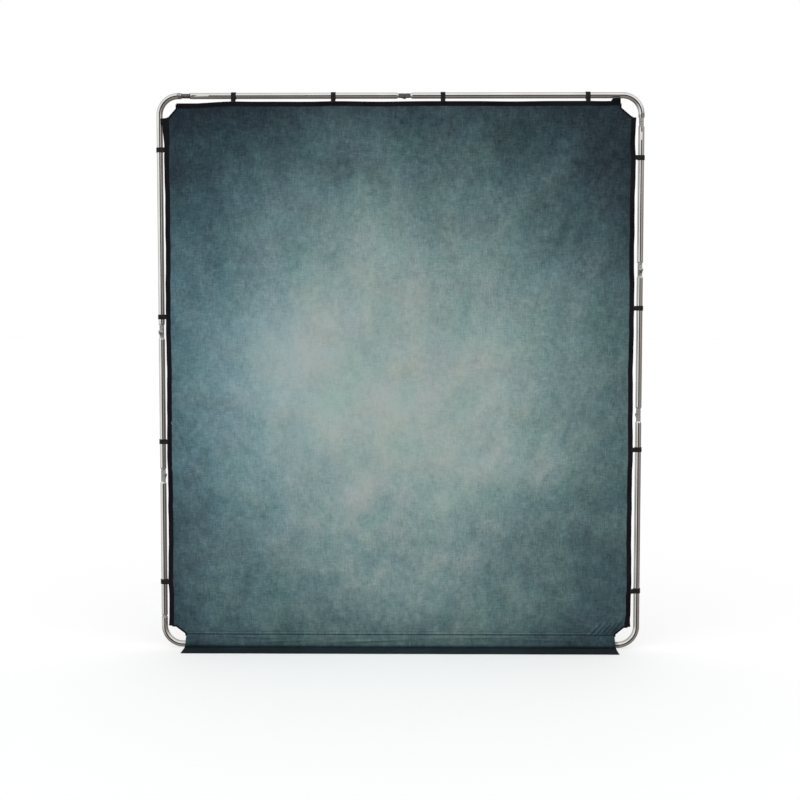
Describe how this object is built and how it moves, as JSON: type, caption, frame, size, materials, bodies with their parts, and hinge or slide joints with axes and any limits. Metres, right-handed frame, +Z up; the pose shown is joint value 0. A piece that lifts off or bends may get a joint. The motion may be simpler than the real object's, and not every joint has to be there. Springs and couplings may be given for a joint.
{
  "type": "collapsible backdrop panel",
  "caption": "Folding aluminium tube frame with hinges and spring-button spigots, holding a clipped-on mottled canvas backdrop with black edging and a floor skirt.",
  "frame": {"origin": "middle of the bounding box in plan, on the floor under the panel", "axes": "+X to the right seen from the cloth side, +Y away from the cloth side, +Z up"},
  "size_m": [2.0054, 0.1536, 2.3027],
  "materials": {
    "tube_aluminium": "polished",
    "fitting_steel": "satin",
    "clip_plastic": "matte",
    "edging_webbing": "matte",
    "painted_canvas": "matte"
  },
  "bodies": {
    "left_base": {"corner_tube_bottom_left": "tube_aluminium", "hinge_fork_bottom": "fitting_steel", "hinge_pin_bottom": "fitting_steel", "cover_left": "painted_canvas", "edging_left": "edging_webbing", "edging_top_left": "edging_webbing", "apron_left": "painted_canvas"},
    "right_base": {"tube_bottom": "tube_aluminium", "hinge_eye_bottom": "fitting_steel", "cover_right": "painted_canvas", "edging_right": "edging_webbing", "edging_top_right": "edging_webbing", "apron_right": "painted_canvas"},
    "right_corner": {"corner_tube_bottom_right": "tube_aluminium", "spigot_bottom_right": "fitting_steel", "hinge_fork_right_lower": "fitting_steel", "hinge_pin_right_lower": "fitting_steel", "clip_right_1": "clip_plastic", "clip_right_2": "clip_plastic"},
    "right_lower": {"tube_right_lower": "tube_aluminium", "hinge_eye_right_lower": "fitting_steel", "hinge_fork_right_upper": "fitting_steel", "hinge_pin_right_upper": "fitting_steel", "clip_right_3": "clip_plastic"},
    "right_upper": {"tube_right_upper": "tube_aluminium", "hinge_eye_right_upper": "fitting_steel", "clip_right_4": "clip_plastic"},
    "top_corner": {"corner_tube_top_right": "tube_aluminium", "spigot_top_right": "fitting_steel", "hinge_eye_top": "fitting_steel", "clip_top_3": "clip_plastic", "clip_top_4": "clip_plastic"},
    "top_bar": {"tube_top": "tube_aluminium", "hinge_fork_top": "fitting_steel", "hinge_pin_top": "fitting_steel", "spigot_core_top_left": "fitting_steel", "clip_top_1": "clip_plastic", "clip_top_2": "clip_plastic"},
    "left_lower": {"tube_left_lower": "tube_aluminium", "spigot_bottom_left": "fitting_steel", "hinge_fork_left_lower": "fitting_steel", "hinge_pin_left_lower": "fitting_steel", "clip_left_1": "clip_plastic"},
    "left_middle": {"tube_left_middle": "tube_aluminium", "hinge_eye_left_lower": "fitting_steel", "hinge_fork_left_upper": "fitting_steel", "hinge_pin_left_upper": "fitting_steel", "clip_left_2": "clip_plastic"},
    "left_corner": {"corner_tube_top_left": "tube_aluminium", "hinge_eye_left_upper": "fitting_steel", "spigot_neck_top_left": "fitting_steel", "clip_left_3": "clip_plastic", "clip_left_4": "clip_plastic"},
    "button_bottom_left": {"button_bottom_left": "fitting_steel"},
    "button_bottom_right": {"button_bottom_right": "fitting_steel"},
    "button_top_right": {"button_top_right": "fitting_steel"},
    "button_top_left": {"button_top_left": "fitting_steel"}
  },
  "joints": [
    {"name": "book_fold", "type": "hinge", "parent": "left_base", "child": "right_base", "pos_m": [0.0185, 0.07025, 0.0125], "axis": [0, 0, 1], "range_deg": [0, 180]},
    {"name": "top_fold", "type": "hinge", "parent": "top_corner", "child": "top_bar", "pos_m": [0.0185, 0.07025, 2.2875], "axis": [0, 0, -1], "range_deg": [0, 180]},
    {"name": "left_spigot_pull", "type": "slide", "parent": "left_base", "child": "left_lower", "axis": [0, 0, 1], "range_m": [0, 0.045]},
    {"name": "left_lower_fold", "type": "hinge", "parent": "left_lower", "child": "left_middle", "pos_m": [-0.9875, 0.07025, 0.7225], "axis": [1, 0, 0], "range_deg": [-180, 0]},
    {"name": "left_upper_fold", "type": "hinge", "parent": "left_middle", "child": "left_corner", "pos_m": [-0.9875, 0.02625, 1.322], "axis": [-1, 0, 0], "range_deg": [-180, 0]},
    {"name": "bottom_spigot_pull", "type": "slide", "parent": "right_base", "child": "right_corner", "axis": [-1, 0, 0], "range_m": [-0.045, 0]},
    {"name": "right_lower_fold", "type": "hinge", "parent": "right_corner", "child": "right_lower", "pos_m": [0.9875, 0.07025, 0.978], "axis": [1, 0, 0], "range_deg": [-180, 0]},
    {"name": "right_upper_fold", "type": "hinge", "parent": "right_lower", "child": "right_upper", "pos_m": [0.9875, 0.02625, 1.577], "axis": [-1, 0, 0], "range_deg": [-180, 0]},
    {"name": "top_spigot_pull", "type": "slide", "parent": "right_upper", "child": "top_corner", "axis": [0, 0, 1], "range_m": [0, 0.045]},
    {"name": "button_bottom_left_press", "type": "slide", "parent": "left_base", "child": "button_bottom_left", "axis": [0, 1, 0], "range_m": [0, 0.002], "stiffness_N_per_m": 300},
    {"name": "button_bottom_right_press", "type": "slide", "parent": "right_base", "child": "button_bottom_right", "axis": [0, 1, 0], "range_m": [0, 0.002], "stiffness_N_per_m": 300},
    {"name": "button_top_right_press", "type": "slide", "parent": "right_upper", "child": "button_top_right", "axis": [0, 1, 0], "range_m": [0, 0.002], "stiffness_N_per_m": 300},
    {"name": "button_top_left_press", "type": "slide", "parent": "top_bar", "child": "button_top_left", "axis": [0, 1, 0], "range_m": [0, 0.002], "stiffness_N_per_m": 300}
  ],
  "couplings": [
    {"joint": "top_fold", "follows": "book_fold", "ratio": 1}
  ]
}
